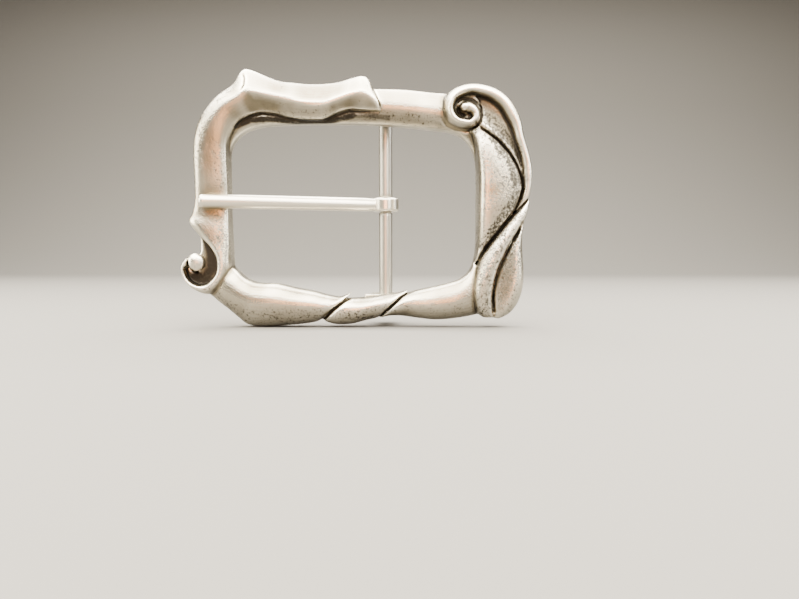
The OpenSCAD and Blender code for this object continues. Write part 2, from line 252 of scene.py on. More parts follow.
        (28.1, 16, 30.4, 17.9, 0.52, 12.4, 10.2, 8.8, 2, 2),
        (28.9, 13.4, 31, 14.7, 0.55, 12.3, 10.2, 8.8, 2, 2),
        (30, 10.5, 31.9, 11.6, 0.58, 12.1, 10.4, 8.8, 2, 2),
        (30.6, 7.9, 32.7, 8.6, 0.6, 12, 10.6, 8.8, 2, 2),
        (30.8, 5.6, 33, 6, 0.6, 11.9, 10.6, 8.8, 2, 2),
        (30.9, 3.1, 32.8, 3.3, 0.6, 11.7, 10.6, 8.8, 2, 2),
        (30.5, 0.9, 32.4, 1.3, 0.6, 11.4, 10.4, 8.8, 2, 2),
        (29.9, -0.6, 31.7, -0.2, 0.6, 11, 10.2, 8.8, 2, 2),
        (29.2, -1.8, 30.4, -1.8, 0.6, 10.6, 10, 8.8, 2, 2)],
    "leafLeft": [
        (31.9, 0.7, 32.3, 0.1, 0.5, 11.2, 9.6, 9, 2, 2),
        (30.5, -1.2, 31.9, -2.2, 0.45, 11.9, 10.4, 10.5, 2, 2),
        (28.6, -3.4, 30.7, -5, 0.45, 12.5, 11, 11.4, 1.7, 1.8),
        (26, -6.4, 28.8, -8.1, 0.5, 12.8, 11, 11.9, 1.6, 1.8),
        (23.5, -9.5, 27, -11.3, 0.52, 13, 10.8, 12.1, 1.6, 1.8),
        (21.6, -12.4, 25.7, -14.6, 0.52, 13, 10.2, 12.1, 1.7, 1.8),
        (20.4, -15.3, 24.8, -17.4, 0.5, 13, 9.6, 12, 1.8, 1.8),
        (19.7, -18.4, 24.2, -19.9, 0.48, 12.8, 9, 11.8, 1.9, 1.8),
        (19.6, -21.6, 24.1, -22.2, 0.48, 12.4, 8.8, 11.4, 2, 1.8),
        (20.5, -24.5, 24.3, -24.5, 0.48, 11.7, 8.6, 10.6, 2, 2),
        (22.3, -26.1, 24.8, -26, 0.5, 10.4, 8.4, 9.6, 2, 2)],
    "leafRight": [
        (32.2, 0, 31.2, -2, 0.4, 11, 8.8, 9.8, 2, 2),
        (31.5, -3.4, 30.1, -5, 0.4, 11.6, 8.8, 10, 2, 1.8),
        (31.1, -6.4, 28.2, -7.9, 0.36, 12, 8.8, 10, 2, 1.5),
        (31, -9.7, 26.5, -11.6, 0.33, 12.2, 8.8, 10, 2, 1.3),
        (31.3, -13.3, 25.1, -15.2, 0.3, 12.3, 8.8, 10, 2, 1.2),
        (31.5, -16.7, 24.2, -18.2, 0.3, 12.2, 8.8, 10, 2, 1.2),
        (31.2, -20, 23.8, -20.9, 0.34, 12, 8.8, 10, 2, 1.2),
        (30.2, -22.9, 23.8, -23.1, 0.42, 11.6, 8.6, 10, 2, 1.3),
        (28.4, -25.2, 24.2, -24.9, 0.5, 11, 8.4, 9.6, 2, 1.6),
        (26, -26.4, 24.4, -26, 0.5, 10.2, 8.4, 9, 2, 2)],
    "scrollFloor": [
        (-40.4, -7, -42.1, -7.3, 0.5, 8.7, 8.3, 8.3, 2, 2),
        (-39, -9.7, -41.9, -9.7, 0.5, 8.7, 8.3, 8.3, 2, 2),
        (-37.8, -12.4, -42.3, -11.8, 0.5, 8.7, 8.3, 8.3, 2, 2),
        (-37.6, -15.1, -44.9, -13.8, 0.5, 8.7, 8.3, 8.3, 2, 2),
        (-38.4, -17.9, -45.4, -16.7, 0.5, 8.7, 8.3, 8.3, 2, 2),
        (-40.6, -19.2, -43.6, -18.8, 0.5, 8.7, 8.3, 8.3, 2, 2)],
}
casting = {"back": 5.0, "chamfer": 0.5, "narrowest": 0.3, "steps": 5, "across": 18, "voxel": 0.2,
           "faces": 185000}


def smoothRows(rows, steps):
    # rows in between, on a smooth curve through the given ones
    rows = np.array(rows, float)
    out = []
    for i in range(len(rows) - 1):
        a, b, c, d = rows[max(i - 1, 0)], rows[i], rows[i + 1], rows[min(i + 2, len(rows) - 1)]
        for t in np.arange(steps) / steps:
            bend = 2 * a - 5 * b + 4 * c - d + t * (3 * (b - c) + d - a)
            out.append(b + 0.5 * t * (c - a + t * bend))
    return out + [rows[-1]]


def sectionPoints(row, make):
    # one closed section: over the front from edge a to edge b, then round the back
    ax, az, bx, bz, at, crest, edgeA, edgeB, fullA, fullB = row
    points = []
    for k in range(make["across"] + 1):
        f = 0.5 - 0.5 * math.cos(math.pi * k / make["across"])
        if f < at:
            u, edge, full = 1 - f / at, edgeA, fullA
        else:
            u, edge, full = (f - at) / (1 - at), edgeB, fullB
        depth = edge + (crest - edge) * (1 - min(u, 1) ** full) ** (1 / full)
        points.append((f, depth))
    width = max(math.hypot(bx - ax, bz - az), make["narrowest"])
    inset = min(make["chamfer"] / width, 0.25)  # never more than a quarter of the width
    points += [(1, make["back"] + make["chamfer"]), (1 - inset, make["back"]),
               (inset, make["back"]), (0, make["back"] + make["chamfer"])]
    return [Vector((ax + (bx - ax) * f, -depth, az + (bz - az) * f)) * mm for f, depth in points]


def grown(name, sections):
    # a flat ring is set on the first section, then extruded from section to section
    deselect()
    bpy.ops.mesh.primitive_circle_add(vertices=len(sections[0]), radius=mm, fill_type="NGON")
    obj = bpy.context.object
    obj.name = name
    bpy.ops.object.mode_set(mode="EDIT")
    bm = bmesh.from_edit_mesh(obj.data)
    place = bm.verts.layers.int.new("place")
    for i, v in enumerate(list(bm.faces)[0].verts):
        v[place] = i
        v.co = sections[0][i]
    for section in sections[1:]:
        bpy.ops.mesh.extrude_region_move()
        bm = bmesh.from_edit_mesh(obj.data)
        place = bm.verts.layers.int["place"]
        for v in bm.verts:
            if v.select:
                v.co = section[v[place]]
        bmesh.update_edit_mesh(obj.data)
    bpy.ops.mesh.select_all(action="SELECT")
    bpy.ops.mesh.normals_make_consistent(inside=False)
    bpy.ops.object.mode_set(mode="OBJECT")
    return obj


castParts = []
for name, rows in leaves.items():
    sections = [sectionPoints(row, casting) for row in smoothRows(rows, casting["steps"])]
    castParts.append(grown(name, sections))
print("leaves grown:", len(castParts))

# bulbs at the middle of each scroll: x, depth, z, then their half sizes, in mm
bulbs = {
    "low": (-42.5, 10.6, -13.5, 1.9, 1.2, 2.0),
    "high": (17.7, 11.6, 20.6, 1.1, 1.2, 0.9),
}
for x, depth, z, sx, sy, sz in bulbs.values():
    deselect()
    bpy.ops.mesh.primitive_uv_sphere_add(segments=32, ring_count=20, radius=mm,
                                         location=(x * mm, -depth * mm, z * mm))
    bulb = bpy.context.object
    bulb.scale = (sx, sy, sz)
    castParts.append(settle(bulb, "bulb"))


def plate(name, outline, start, thick, turn=(0, 0, 0)):
    # a flat outline, in mm, extruded upwards from start, then turned
    deselect()
    bpy.ops.mesh.primitive_circle_add(vertices=len(outline), radius=mm, fill_type="NGON")
    obj = bpy.context.object
    bpy.ops.object.mode_set(mode="EDIT")
    bm = bmesh.from_edit_mesh(obj.data)
    for v, (x, y) in zip(list(bm.faces)[0].verts, outline):
        v.co = (x * mm, y * mm, start * mm)
    bmesh.update_edit_mesh(obj.data)
    bpy.ops.mesh.extrude_region_move(TRANSFORM_OT_translate={"value": (0, 0, thick * mm)})
    bpy.ops.mesh.select_all(action="SELECT")
    bpy.ops.mesh.normals_make_consistent(inside=False)
    bpy.ops.object.mode_set(mode="OBJECT")
    obj.rotation_euler = turn
    return settle(obj, name)


# the floor inside the hook of the upper scroll, let into the back
hookFloor = {"x": 17.7, "z": 20.4, "radius": 3.5, "front": 10.9}
disc = [(hookFloor["x"] + hookFloor["radius"] * math.cos(t),
         hookFloor["z"] + hookFloor["radius"] * math.sin(t))
        for t in np.linspace(0, 2 * math.pi, 48, endpoint=False)]
standing = (math.pi / 2, 0, 0)
castParts.append(plate("hookFloor", disc, casting["back"], hookFloor["front"] - casting["back"], standing))

# two lugs behind the frame hold the bar, each with a foot flaring into the back
lug = {"from": 21.0, "thick": 4.0, "reach": 3.5, "flare": 1.2, "sunk": 1.4}
arch = [(lug["reach"] * math.cos(t), lug["reach"] * math.sin(t)) for t in np.linspace(0, math.pi, 33)]
foot = [(lug["reach"] + lug["flare"] * (1 - math.cos(t)),
         -casting["back"] + lug["flare"] * (1 - math.sin(t)))
        for t in np.linspace(0, math.pi / 2, 9)]
foot.append((lug["reach"] + lug["flare"], -casting["back"] - lug["sunk"]))
outline = arch + [(-x, y) for x, y in foot] + foot[::-1]
for start in (lug["from"], -lug["from"] - lug["thick"]):
    castParts.append(plate("lug", outline, start, lug["thick"]))

castFrame = joined(castParts, "castFrame")
applyModifier(castFrame, "REMESH", mode="VOXEL", voxel_size=casting["voxel"] * mm)
applyModifier(castFrame, "SMOOTH", factor=0.5, iterations=3)
print("frame fused:", triangles(castFrame))


def pointArrays(obj):
    # each point's place and normal
    mesh = obj.data
    co = np.empty(len(mesh.vertices) * 3)
    mesh.vertices.foreach_get("co", co)
    no = np.empty(len(mesh.vertices) * 3)
    mesh.vertices.foreach_get("normal", no)
    return co.reshape(-1, 3), no.reshape(-1, 3)


def toLine(xz, line):
    # distance in mm from each point to a line of points, and how far along it, from 0 to 1
    best = np.full(len(xz), 1e9)
    along = np.zeros(len(xz))
    line = np.array(line, float)
    for i in range(len(line) - 1):
        a, b = line[i], line[i + 1]
        t = np.clip(((xz - a) @ (b - a)) / max((b - a) @ (b - a), 1e-9), 0, 1)
        d = np.linalg.norm(xz - (a + t[:, None] * (b - a)), axis=1)
        closer = d < best
        best[closer] = d[closer]
        along[closer] = (i + t[closer]) / (len(line) - 1)
    return best, along


# grooves cut with a fine tool: points in mm, half width, depth
grooves = {
    "underBranch": {"wide": 0.26, "deep": 0.3, "line": [
        (-33.5, 16.6), (-31.9, 18.2), (-30.2, 19), (-27.4, 19.5), (-24.2, 19.2), (-21.4, 18.5),
        (-18.1, 18), (-14, 18), (-11.1, 19.1), (-7.9, 20), (-5.2, 19.9), (-1.4, 19.9)]},
    "branchEnd": {"wide": 0.22, "deep": 0.5, "line": [(-0.8, 20.6), (-1.9, 23.2), (-3.2, 26.6)]},
    "besideBud": {"wide": 0.3, "deep": 1.5, "line": [
        (20.2, 17.2), (21.6, 16.3), (23.2, 15.1), (25.4, 13.3), (27.7, 10.7), (29.4, 8),
        (30.5, 5.2), (30.8, 3), (30.2, 0.8), (29.3, -1.6), (27.3, -4.2), (24.9, -7.3),
        (22.7, -10), (21.5, -12), (20.6, -13.8)]},
    "leafTop": {"wide": 0.22, "deep": 0.9, "line": [
        (32.3, 0.9), (31.4, -0.1), (30.4, -1.2), (29.2, -2.6)]},
    "leafMiddle": {"wide": 0.36, "deep": 1.5, "line": [
        (30.7, -4.7), (29.6, -7), (27.8, -9.8), (26.6, -12.4), (25.4, -15.1), (24.7, -17.8),
        (24.3, -20.1), (24.3, -22.4), (24.7, -24.6)]},
    "hookHole": {"wide": 0.32, "deep": 0.9, "line": [
        (16.2, 20.7), (16.4, 19.7), (17.1, 19.1), (17.8, 18.9)]},
    "hookTop": {"wide": 0.22, "deep": 0.35, "line": [
        (15.8, 21.2), (16.3, 22.1), (17.3, 22.5), (18.8, 22.5), (20, 22), (21, 21.2)]},
    "hookSide": {"wide": 0.2, "deep": 0.5, "line": [
        (20.6, 21.8), (21.4, 20.7), (21.6, 19.2), (21.4, 17.7), (20.6, 16.7), (19.6, 16.1)]},
    "scrollFoot": {"wide": 0.25, "deep": 0.2, "line": [
        (12.9, 18), (13.8, 17), (15.8, 16.1), (18, 15.7), (19.6, 16)]},
    "hornCrease": {"wide": 0.24, "deep": 0.4, "line": [
        (-31.4, 28.2), (-30.9, 26.9), (-30.8, 25.4), (-31.3, 24.2)]},
    "lowHook": {"wide": 0.26, "deep": 1.6, "line": [
        (-44.3, -13.1), (-44.3, -14.3), (-43.8, -15.2), (-42.8, -15.7)]},
    "vineOne": {"wide": 0.26, "deep": 0.9, "line": [
        (-6, -20.6), (-8.6, -22), (-11.2, -23.9), (-13.6, -26.2), (-14.6, -27)]},
    "vineTwo": {"wide": 0.24, "deep": 0.8, "line": [
        (6, -20), (3.6, -21.4), (1.2, -23.6), (-0.6, -25.4), (-1.6, -26.3)]},
}
# how far forward the tool cuts, in mm, how fast it leaves at a groove's ends, how shallow it is
# there, and how soon it lets go of a side that turns away
tool = {"from": 8.2, "runOut": 8, "shallow": 0.3, "facing": 2}
co, no = pointArrays(castFrame)
front = np.clip(-no[:, 1] * tool["facing"], 0, 1)
xz = co[:, [0, 2]] / mm
for groove in grooves.values():
    gap, along = toLine(xz, groove["line"])
    taper = np.clip(np.minimum(along, 1 - along) * tool["runOut"], tool["shallow"], 1)
    raised = co[:, 1] < -tool["from"] * mm
    cut = groove["deep"] * taper * np.exp(-(gap / groove["wide"]) ** 2) * front * raised
    co[:, 1] += cut * mm
castFrame.data.vertices.foreach_set("co", co.ravel())
castFrame.data.update()
applyModifier(castFrame, "SMOOTH", factor=0.4, iterations=1)
wanted = casting["faces"] / max(triangles(castFrame), 1)
if wanted < 1:
    applyModifier(castFrame, "DECIMATE", ratio=wanted)
cleaned(castFrame)
pick(castFrame)
bpy.ops.object.shade_smooth()


def cavity(obj, rounds):
    # how far each point lies below its surroundings, in mm
    co, no = pointArrays(obj)
    edges = np.empty(len(obj.data.edges) * 2, int)
    obj.data.edges.foreach_get("vertices", edges)
    edges = edges.reshape(-1, 2)
    count = np.bincount(edges.ravel(), minlength=len(co))[:, None]
    smooth = co.copy()
    for _ in range(rounds):
        total = np.zeros_like(smooth)
        for k in range(3):
            total[:, k] = np.bincount(edges[:, 0], smooth[edges[:, 1], k], len(co))
            total[:, k] += np.bincount(edges[:, 1], smooth[edges[:, 0], k], len(co))
        smooth = 0.5 * smooth + 0.5 * total / count
    return ((smooth - co) * no).sum(axis=1) / mm


def writeAttribute(obj, name, values):
    layer = obj.data.attributes.new(name, "FLOAT", "POINT")
    layer.data.foreach_set("value", np.ascontiguousarray(values, np.float32))


# dark marks: where the dark finish was left standing when the high parts were polished, and painted shade
# under the upper branch and inside the upper scroll's rim: points in mm, half width, strength, and how far
# forward it reaches
patinaAndShadeMarks = [
    # painted shade with patina: the dish is darkened along the inside of the scroll's rim, where the rim
    # shades it
    {"line": [(19.6, 22.6), (22, 20.8), (24.2, 18.4), (26, 15.2), (27.6, 12), (29.2, 8.4), (30.4, 5)],
     "wide": 2.4, "strong": 0.7, "upTo": 12},
    {"line": [(-40.2, -8.8), (-39.4, -12), (-39.4, -15), (-41, -17.2), (-43.4, -16.8)],
     "wide": 1.6, "strong": 1.0, "upTo": 10.4},
    {"line": [(-33.6, 24.2), (-32.2, 26.4)], "wide": 0.9, "strong": 0.5},
    {"line": [(-43, -14.6), (-42.2, -13.8), (-41.4, -13.4)], "wide": 1.2, "strong": 0.58},
    # painted shade: the under-ring's face is darkened below the branch's lower edge, where the branch
    # shades it
    {"line": [(-33.2, 17), (-30, 18.3), (-25, 18.5), (-19, 18), (-12, 18.2), (-7, 19.2)],
     "wide": 0.85, "strong": 1.0, "upTo": 10.1},
    {"line": [(-7, 19.2), (-3, 19.2), (1, 18.6)], "wide": 0.8, "strong": 0.8, "upTo": 10.1},
    {"line": [(26.2, -13.5), (25.4, -17), (24.9, -21), (25, -24)],
     "wide": 0.9, "strong": 0.5, "upTo": 12},
    {"line": [(29.8, 8), (30.6, 4.5), (30, 0.5), (28, -3), (24, -8)],
     "wide": 0.8, "strong": 0.5, "upTo": 12},
]
# parts rubbed less, where the finish stays in specks: points in mm, half width, strength
specked = [
    {"line": [(21.5, 15), (24.6, 9), (26, 3), (25, -3), (22.6, -9)], "wide": 4.2, "strong": 0.6},
    {"line": [(24, 13.6), (27.6, 9), (29.4, 4), (28.6, 0), (25.4, -4.6), (22, -9.6)],
     "wide": 1.4, "strong": 0.95},
    {"line": [(30.5, -3), (27, -9), (23.6, -15), (22, -21), (23.4, -25)],
     "wide": 2.6, "strong": 0.7},
    {"line": [(30.4, -6), (28.6, -13), (27.4, -19), (27, -24)], "wide": 2.8, "strong": 0.68},
    {"line": [(23, 18.4), (26.4, 14.6), (29, 10.4)], "wide": 1.8, "strong": 0.9},
    {"line": [(-39.6, -21), (-36, -24), (-30, -25.6), (-22, -25.8), (-14.6, -25.4)],
     "wide": 2.6, "strong": 0.6},
    {"line": [(-13, -26.2), (-6, -25.6), (0, -24)], "wide": 1.8, "strong": 0.65},
    {"line": [(1.6, -24.8), (10, -24.6), (20, -23.4)], "wide": 2.4, "strong": 0.5},
    {"line": [(-37, 12), (-36.6, 4), (-36.8, -4), (-36.4, -10), (-36.6, -15), (-39.6, -19)],
     "wide": 1.6, "strong": 0.6},
    {"line": [(-41.2, 8), (-41.4, 14), (-38, 21), (-33, 26)], "wide": 1.3, "strong": 0.55},
    {"line": [(-28, 21.5), (-18, 19.6), (-8, 21.6)], "wide": 1.6, "strong": 0.35},
    {"line": [(-26, 18.6), (-12, 19), (0, 19), (12, 18)], "wide": 1.4, "strong": 0.6},
]
# depths in mm; rounds of smoothing that tell fine and broad hollows apart, and what each gives
# to the dark finish and to the rubbed crests; how much painted shade facing down and facing back give
finishAndShade = {"from": 7.5, "upTo": 14, "patinaAndShadeFade": 0.5, "speckFade": 0.6, "fineRounds": 12,
           "broadRounds": 140, "darkFine": 8, "darkBroad": 1.2, "rubFine": 12, "rubBroad": 0.8,
           "down": 1.3, "downFrom": 0.15, "back": 1.8}


def painted(xz, depth, marks, fade):
    # the strongest mark at each point of the front, fading outwards from its line
    most = np.zeros(len(xz))
    for mark in marks:
        gap = toLine(xz, mark["line"])[0]
        reached = (depth > finishAndShade["from"]) * (depth < mark.get("upTo", finishAndShade["upTo"]))
        most = np.maximum(most, reached * mark["strong"] * np.clip(1 + fade - gap / mark["wide"], 0, 1))
    return most


co, no = pointArrays(castFrame)
xz = co[:, [0, 2]] / mm
depth = -co[:, 1] / mm
fine = cavity(castFrame, finishAndShade["fineRounds"])
broad = cavity(castFrame, finishAndShade["broadRounds"])
# dark marks: patina left in the hollows, and painted shade under the branch and inside the scroll rim
patinaAndShade = painted(xz, depth, patinaAndShadeMarks, finishAndShade["patinaAndShadeFade"])
low = np.clip(fine * finishAndShade["darkFine"] + broad * finishAndShade["darkBroad"], 0, 1)
# painted shade: what faces down or back is greyed, as if turned away from the overhead light
facingDown = -finishAndShade["down"] * no[:, 2] + finishAndShade["downFrom"]
facingBack = finishAndShade["back"] * no[:, 1]
crests = np.clip(-fine * finishAndShade["rubFine"] - broad * finishAndShade["rubBroad"], 0, 1)
writeAttribute(castFrame, "darkening", np.clip(np.maximum(low, patinaAndShade), 0, 1))
writeAttribute(castFrame, "shadeFacingDownOrBack", np.clip(np.maximum(facingDown, facingBack), 0, 1))
writeAttribute(castFrame, "specks", painted(xz, depth, specked, finishAndShade["speckFade"]))
writeAttribute(castFrame, "rubbed", crests)
print("frame carved:", triangles(castFrame))


# strap bar: turned neck for the eye, ends hammered over; sizes in mm
bar = {"radius": 1.6, "neck": 1.3, "neckHalf": 1.8, "half": 25.0, "dome": 0.5, "domeSteps": 8,
       "rim": 0.4, "shoulder": 0.25, "rings": 30}


def turned(profile, name, segments=64):
    # a turned piece: its half outline, (radius, height) in mm, spun about the bar's axis
    deselect()
    bpy.ops.mesh.primitive_circle_add(vertices=3, radius=mm)
    obj = bpy.context.object
    bpy.ops.object.mode_set(mode="EDIT")
    bpy.ops.mesh.select_all(action="SELECT")
    bpy.ops.mesh.delete(type="VERT")
    bm = bmesh.from_edit_mesh(obj.data)
    points = [bm.verts.new((r * mm, 0, z * mm)) for r, z in profile]
    for a, b in zip(points, points[1:]):
        bm.edges.new((a, b))
    bmesh.update_edit_mesh(obj.data)
    bpy.ops.mesh.select_all(action="SELECT")
    bpy.ops.mesh.spin(steps=segments, angle=2 * math.pi, center=(0, 0, 0), axis=(0, 0, 1))
    bpy.ops.mesh.select_all(action="SELECT")
    bpy.ops.mesh.remove_doubles(threshold=1e-6)
    bpy.ops.mesh.normals_make_consistent(inside=False)
    bpy.ops.object.mode_set(mode="OBJECT")
    return settle(obj, name)


def barProfile(b):
    # from the top dome down to the neck, then the same turned over
    top = [(0, b["half"] + b["dome"])]
    for k in range(1, b["domeSteps"] + 1):
        t = math.pi / 2 * k / b["domeSteps"]
        top.append((b["radius"] * math.sin(t), b["half"] + b["dome"] * math.cos(t)))
    heights = np.linspace(b["half"] - b["rim"], b["neckHalf"] + b["shoulder"], b["rings"])
    side = [(b["radius"], h) for h in heights]
    neck = [  # a small chamfer, then a rounded corner at the neck
        (b["radius"] - 0.1, b["neckHalf"] + 0.05),
        (b["neck"] + 0.02, b["neckHalf"]),
        (b["neck"], b["neckHalf"] - 0.15),
    ]
    half = top + side + neck
    return half + [(r, -z) for r, z in reversed(half)]


strapBar = turned(barProfile(bar), "strapBar")
pick(strapBar)
bpy.ops.object.shade_smooth_by_angle(angle=math.radians(35))
print("bar turned:", triangles(strapBar))


# prong: a rod with a blunt tip, its root wrapped into an eye; rings are (along, radius) in mm
prong = {
    "rings": [(0.0, 1.30), (2.6, 1.45), (4.5, 1.56), (8.0, 1.6), (20.0, 1.6), (32.0, 1.58), (39.0, 1.5)],
    "length": 43.0, "tip": 1.1, "tipRadius": 1.5, "blunt": 0.95, "tipSteps": 9, "around": 40,
    "slope": 17.8, "eyeOut": 3.1, "eyeIn": 1.35, "eyeHalf": 1.6, "eyeRound": 0.55, "eyeAround": 72,
    "voxel": 0.11, "most": 120000, "faces": 110000, "boreReach": 1.6, "boreHalf": 1.7,
    "rounds": 20, "darkFine": 7, "rubFine": 6, "specks": 0.1,
}


def prongRod(p):
    # rings along +X, each a little different, then the whole is turned to its slope
    stops = list(p["rings"])
    for t in np.linspace(0.1, math.pi / 2 * 0.96, p["tipSteps"]):
        along = p["length"] - p["tip"] * (1 - math.sin(t))
        stops.append((along, p["tipRadius"] - p["tip"] * p["blunt"] * (1 - math.cos(t))))
    turns = [2 * math.pi * k / p["around"] for k in range(p["around"])]
    rings = []
    for x, radius in stops:
        rings.append([(x * mm, radius * math.cos(t) * mm, radius * math.sin(t) * mm) for t in turns])
    rod = grown("rod", rings)
    rod.rotation_euler = (0, 0, math.radians(180 + p["slope"]))
    return settle(rod, "rod")


def eyeProfile(p):
    # the eye's section, closed: a quarter circle at each corner, smaller at the bore
    inner, outer, half, big = p["eyeIn"], p["eyeOut"], p["eyeHalf"], p["eyeRound"]
    small = big * 0.5
    corners = [
        (outer - big, half - big, big),
        (inner + small, half - small, small),
        (inner + small, -half + small, small),
        (outer - big, -half + big, big),
    ]
    section = []
    for quarter, (x, z, size) in enumerate(corners):
        for k in range(7):
            t = math.pi / 2 * (quarter + k / 6)
            section.append((x + size * math.cos(t), z + size * math.sin(t)))
    return section + [section[0]]


prongEye = turned(eyeProfile(prong), "eye", prong["eyeAround"])
prongPiece = joined([prongEye, prongRod(prong)], "prongPiece")
applyModifier(prongPiece, "REMESH", mode="VOXEL", voxel_size=prong["voxel"] * mm)
applyModifier(prongPiece, "SMOOTH", factor=0.5, iterations=4)
co, no = pointArrays(prongPiece)
radial = np.hypot(co[:, 0], co[:, 1]) / mm
inBore = (radial < prong["boreReach"]) & (abs(co[:, 2]) < prong["boreHalf"] * mm)
co[inBore, :2] *= (prong["eyeIn"] / radial[inBore])[:, None]  # the bore stays true after smoothing
prongPiece.data.vertices.foreach_set("co", co.ravel())
prongPiece.data.update()
if triangles(prongPiece) > prong["most"]:
    applyModifier(prongPiece, "DECIMATE", ratio=prong["faces"] / triangles(prongPiece))
cleaned(prongPiece)
pick(prongPiece)
bpy.ops.object.shade_smooth()
fine = cavity(prongPiece, prong["rounds"])
writeAttribute(prongPiece, "darkening", np.clip(fine * prong["darkFine"], 0, 1))
writeAttribute(prongPiece, "rubbed", np.clip(-fine * prong["rubFine"], 0, 1))
writeAttribute(prongPiece, "specks", np.full(len(fine), prong["specks"]))
print("prong made:", triangles(prongPiece))


def addNode(tree, kind, inputs=None, settings=None):
    # one node: each input takes a value or another node's output; gives back its first output
    node = tree.nodes.new("ShaderNode" + kind)
    for name, value in (settings or {}).items():
        setattr(node, name, value)
    for name, value in (inputs or {}).items():
        if isinstance(value, bpy.types.NodeSocket):
            tree.links.new(value, node.inputs[name])
        else:
            node.inputs[name].default_value = value
    return [out for out in node.outputs if out.enabled][0]


def antiqueSilver(name, look):
    # Antiqued silver plate: a blackened bath, polished off the high parts, so the hollows stay
    # dark brown and the crests are a warm satin silver with fine grain. Painted shade is laid in too:
    # greyer where the casting faces down or back, darker under the branch and inside the scroll rim.
    # The prong and the bar have the same finish, paler and with less grain.
    mat = bpy.data.materials.new(name)
    mat.use_nodes = True
    tree = mat.node_tree
    shader = tree.nodes["Principled BSDF"]
    where = addNode(tree, "TexCoord").node.outputs["Object"]
    wornAndShaded = {}
    for layer in ("darkening", "rubbed", "specks", "shadeFacingDownOrBack"):
        wornAndShaded[layer] = addNode(tree, "Attribute", settings={"attribute_name": layer}).node.outputs["Fac"]
    smoothly = {"interpolation_type": "SMOOTHSTEP"}
    times, plus, minus = {"operation": "MULTIPLY"}, {"operation": "ADD"}, {"operation": "SUBTRACT"}
    timesPlus, most = {"operation": "MULTIPLY_ADD"}, {"operation": "MAXIMUM"}

    # three noises: casting grain, specks of finish, and broad clouds of handling
    noises = {}
    for layer, detail, rough in (("grain", 3.0, 0.6), ("cloud", 4.0, 0.65), ("speck", 4.0, 0.8)):
        noises[layer] = addNode(tree, "TexNoise", {
            "Vector": where, "Scale": 1 / (look[layer] * mm), "Detail": detail, "Roughness": rough})
    grain, cloud, speckle = noises["grain"], noises["cloud"], noises["speck"]

    # specks of the dark finish: dense where the part was rubbed less, almost none elsewhere
    limit = addNode(tree, "Math", {0: wornAndShaded["specks"], 1: -look["speckDense"],
                                   2: look["speckRare"]}, timesPlus)
    above = addNode(tree, "Math", {0: speckle, 1: limit}, minus)
    patchy = addNode(tree, "Math", {0: cloud, 1: look["patchy"], 2: -look["patchy"] / 2}, timesPlus)
    above = addNode(tree, "Math", {0: above, 1: patchy}, plus)
    dots = addNode(tree, "MapRange", {"Value": above, "From Max": look["speckEdge"],
                                      "To Max": look["speckDark"]}, smoothly)

    # pits left by the casting, in patches
    pits = addNode(tree, "TexVoronoi", {"Vector": where, "Scale": 1 / (look["pits"] * mm)})
    pits = addNode(tree, "MapRange", {"Value": pits, "From Min": look["pitFloor"],
                                      "From Max": look["pitRim"], "To Min": 1.0, "To Max": 0.0}, smoothly)
    patches = addNode(tree, "MapRange", {"Value": cloud, "From Min": look["pitFrom"],
                                         "From Max": look["pitFrom"] + look["pitFade"]}, smoothly)
    pitted = addNode(tree, "Math", {0: pits, 1: patches}, times)

    # ragged edge of the dark finish in the hollows and of the painted shade under the branch and the rim,
    # and a painted grey shade on what faces down or back
    ragged = addNode(tree, "Math", {0: cloud, 1: look["edgeCloud"], 2: wornAndShaded["darkening"]}, timesPlus)
    ragged = addNode(tree, "Math", {0: grain, 1: look["edgeGrain"], 2: ragged}, timesPlus)
    hollowsAndShade = addNode(tree, "MapRange", {"Value": ragged, "From Min": look["darkFrom"],
                                        "From Max": look["darkTo"]}, smoothly)
    downShade = addNode(tree, "MapRange", {"Value": cloud, "From Min": 0.3, "From Max": 0.7,
                                      "To Min": look["under"] * 0.6, "To Max": look["under"]}, smoothly)
    downShade = addNode(tree, "Math", {0: wornAndShaded["shadeFacingDownOrBack"], 1: downShade}, times)
    tone = addNode(tree, "Math", {0: hollowsAndShade, 1: dots}, most)
    tone = addNode(tree, "Math", {0: tone, 1: pitted}, most)
    tone = addNode(tree, "Math", {0: tone, 1: downShade}, most)

    colour = addNode(tree, "ValToRGB", {"Fac": tone})
    ramp = colour.node.color_ramp
    ramp.elements.new(look["dullAt"])
    for element, stop in zip(ramp.elements, ("silver", "dull", "black")):
        element.color = srgb(look[stop])
    clean = addNode(tree, "Math", {0: 1.0, 1: tone}, minus)
    clean = addNode(tree, "Math", {0: wornAndShaded["rubbed"], 1: clean}, times)
    colour = addNode(tree, "Mix", {0: clean, 6: colour, 7: srgb(look["polished"])}, {"data_type": "RGBA"})
    rough = addNode(tree, "MapRange", {"Value": tone, "To Min": look["smooth"],
                                       "To Max": look["rough"]}, smoothly)
    tree.links.new(colour, shader.inputs["Base Color"])
    tree.links.new(rough, shader.inputs["Roughness"])
    shader.inputs["Metallic"].default_value = 1.0

    # what stands up and what is sunk, as relief
    height = addNode(tree, "Math", {0: speckle, 1: look["speckHigh"], 2: grain}, timesPlus)
    sunk = addNode(tree, "Math", {0: dots, 1: look["speckSunk"], 2: pitted}, timesPlus)
    height = addNode(tree, "Math", {0: height, 1: sunk}, minus)
    bump = addNode(tree, "Bump", {"Height": height, "Strength": look["bump"],
                                  "Distance": look["bumpDeep"] * mm})
    tree.links.new(bump, shader.inputs["Normal"])
    return mat


